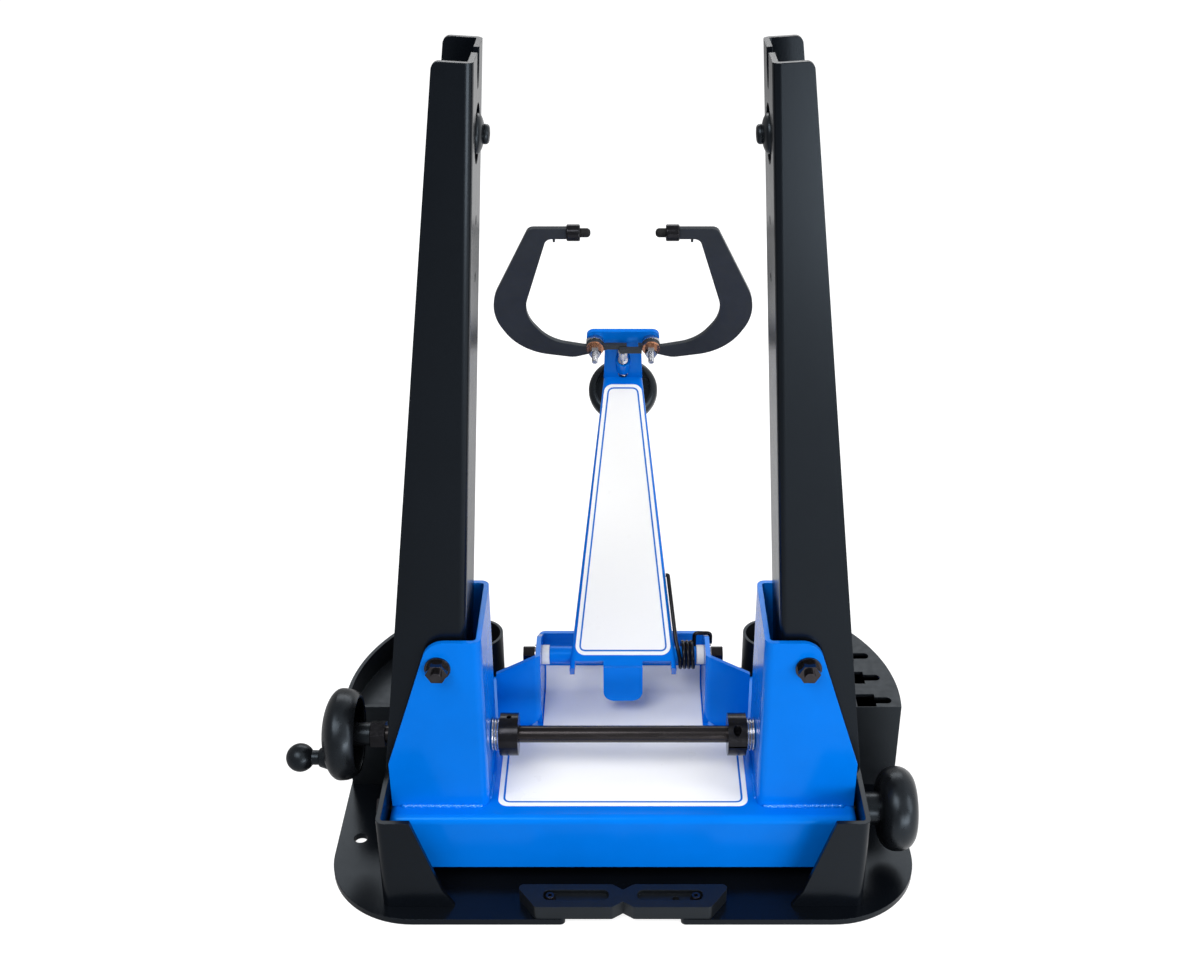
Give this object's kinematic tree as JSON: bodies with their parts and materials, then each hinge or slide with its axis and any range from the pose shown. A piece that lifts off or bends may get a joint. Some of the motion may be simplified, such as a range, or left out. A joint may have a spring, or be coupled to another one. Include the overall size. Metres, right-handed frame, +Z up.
{
  "type": "wheel truing stand",
  "caption": "Bench stand for truing bicycle wheels: leaning uprights moved together by a threaded spindle, and a tapered arm with calipers, on a tilting base.",
  "frame": {"origin": "middle of the base plate's underside, on the bench", "axes": "+X to the stand's right seen from the front, +Y to the back, +Z up"},
  "size_m": [0.3871, 0.3396, 0.496],
  "materials": {
    "black_steel": "semi-gloss powder coat",
    "black_plastic": "fine moulded texture",
    "blue_steel": "gloss powder coat",
    "white_sticker": "smooth vinyl with a blue line near the edge",
    "nylon": "smooth",
    "rubber": "matte",
    "copper": "satin",
    "black_oxide": "satin black",
    "zinc": "bright zinc"
  },
  "bodies": {
    "base": {"base_plate": "black_steel", "left_side_wall": "black_steel", "right_side_wall": "black_steel", "left_tray": "black_plastic", "right_tray": "black_plastic", "left_cup": "black_plastic", "right_cup": "black_plastic", "front_block": "black_plastic", "front_block_screws": "black_oxide", "rest_bumpers": "rubber"},
    "stand": {"frame_channel": "blue_steel", "left_cheek": "blue_steel", "right_cheek": "blue_steel", "ear_bracket": "blue_steel", "top_sticker": "white_sticker", "right_tilt_stud": "black_oxide", "frame_bolts": "black_oxide", "frame_nuts": "black_oxide", "plain_washers": "zinc", "pivot_washers": "black_oxide", "thrust_washers": "zinc", "nylon_washers": "nylon", "arm_screw_nut": "black_oxide"},
    "tilt_knob": {"tilt_knob": "black_plastic"},
    "left_upright": {"left_upright": "black_steel", "left_dome": "black_oxide", "left_dome_fixing": "black_oxide"},
    "right_upright": {"right_upright": "black_steel", "right_dome": "black_oxide", "right_dome_fixing": "black_oxide"},
    "spindle": {"spindle_rod": "black_oxide", "left_collar": "black_oxide", "right_collar": "black_oxide", "collar_screws": "black_oxide", "jam_nut": "black_oxide", "handwheel": "black_plastic", "crank_pin": "black_oxide"},
    "crank_handle": {"crank_handle": "black_plastic"},
    "left_nut": {"left_traveller_nut": "zinc"},
    "right_nut": {"right_traveller_nut": "zinc"},
    "arm": {"arm": "blue_steel", "arm_sticker": "white_sticker", "torsion_spring": "black_oxide", "caliper_studs": "zinc", "caliper_spacers": "zinc", "copper_washers": "copper", "stud_nuts": "black_oxide", "screw_guides": "zinc"},
    "arm_screw": {"arm_screw_pad": "zinc"},
    "arm_knob": {"arm_screw": "zinc", "arm_knob": "black_plastic"},
    "left_caliper": {"left_caliper": "black_oxide", "left_caliper_sleeve": "black_oxide", "left_caliper_tip": "black_oxide"},
    "right_caliper": {"right_caliper": "black_oxide", "right_caliper_sleeve": "black_oxide", "right_caliper_tip": "black_oxide"},
    "caliper_screw": {"caliper_screw_pad": "zinc"},
    "caliper_knob": {"caliper_screw": "zinc", "caliper_knob": "black_plastic"}
  },
  "joints": [
    {"name": "stand_tilt", "type": "hinge", "parent": "base", "child": "stand", "pos_m": [0, -0.08, 0.0438], "axis": [1, 0, 0], "range_deg": [0, 20]},
    {"name": "tilt_knob_turn", "type": "hinge", "parent": "stand", "child": "tilt_knob", "pos_m": [0.16, -0.08, 0.0438], "axis": [1, 0, 0], "range_deg": [-360, 360]},
    {"name": "spindle_spin", "type": "hinge", "parent": "stand", "child": "spindle", "pos_m": [0, -0.0555, 0.0815], "axis": [1, 0, 0], "range_deg": [-1020, 900]},
    {"name": "left_nut_slide", "type": "slide", "parent": "stand", "child": "left_nut", "axis": [-1, 0, 0], "range_m": [-0.0086, 0.0076]},
    {"name": "right_nut_slide", "type": "slide", "parent": "stand", "child": "right_nut", "axis": [1, 0, 0], "range_m": [-0.0086, 0.0076]},
    {"name": "left_upright_swing", "type": "hinge", "parent": "stand", "child": "left_upright", "pos_m": [-0.1058, -0.0555, 0.155], "axis": [0, 1, 0], "range_deg": [-6.7, 5.9]},
    {"name": "right_upright_swing", "type": "hinge", "parent": "stand", "child": "right_upright", "pos_m": [0.1058, -0.0555, 0.155], "axis": [0, -1, 0], "range_deg": [-6.7, 5.9]},
    {"name": "crank_handle_spin", "type": "hinge", "parent": "spindle", "child": "crank_handle", "pos_m": [-0.197, -0.0595, 0.0665], "axis": [1, 0, 0], "continuous": true},
    {"name": "arm_screw_feed", "type": "slide", "parent": "stand", "child": "arm_screw", "axis": [0, 1, 0], "range_m": [-0.0024, 0.0074]},
    {"name": "arm_knob_turn", "type": "hinge", "parent": "arm_screw", "child": "arm_knob", "pos_m": [0, 0.068, 0.075], "axis": [0, 1, 0], "range_deg": [-415, 1300]},
    {"name": "arm_swing", "type": "hinge", "parent": "stand", "child": "arm", "pos_m": [0, 0.013, 0.092], "axis": [1, 0, 0], "range_deg": [-8.2, 25.2], "deforming": ["torsion_spring"]},
    {"name": "caliper_screw_feed", "type": "slide", "parent": "arm", "child": "caliper_screw", "axis": [0, -0.6157, 0.788], "range_m": [-0.0028, 0.0035]},
    {"name": "caliper_knob_turn", "type": "hinge", "parent": "caliper_screw", "child": "caliper_knob", "pos_m": [0, 0.17257, 0.21667], "axis": [0, -0.6157, 0.788], "range_deg": [-660, 825]},
    {"name": "left_caliper_swing", "type": "hinge", "parent": "arm", "child": "left_caliper", "pos_m": [-0.0189, 0.15244, 0.25225], "axis": [0, -0.9397, -0.342], "range_deg": [-8.1, 10.1]},
    {"name": "right_caliper_swing", "type": "hinge", "parent": "arm", "child": "right_caliper", "pos_m": [0.0189, 0.15244, 0.25225], "axis": [0, 0.9397, 0.342], "range_deg": [-8.1, 10.1]}
  ],
  "couplings": [
    {"joint": "left_nut_slide", "follows": "spindle_spin", "m_per_rad": 0.00047746},
    {"joint": "right_nut_slide", "follows": "spindle_spin", "m_per_rad": 0.00047746},
    {"joint": "left_upright_swing", "follows": "spindle_spin", "ratio": 0.0064961},
    {"joint": "right_upright_swing", "follows": "spindle_spin", "ratio": 0.0064961},
    {"joint": "arm_screw_feed", "follows": "arm_knob_turn", "m_per_rad": 0.00031831},
    {"joint": "arm_swing", "follows": "arm_knob_turn", "ratio": 0.019157},
    {"joint": "caliper_screw_feed", "follows": "caliper_knob_turn", "m_per_rad": 0.00023873},
    {"joint": "left_caliper_swing", "follows": "caliper_knob_turn", "ratio": 0.01218},
    {"joint": "right_caliper_swing", "follows": "caliper_knob_turn", "ratio": 0.01218}
  ]
}
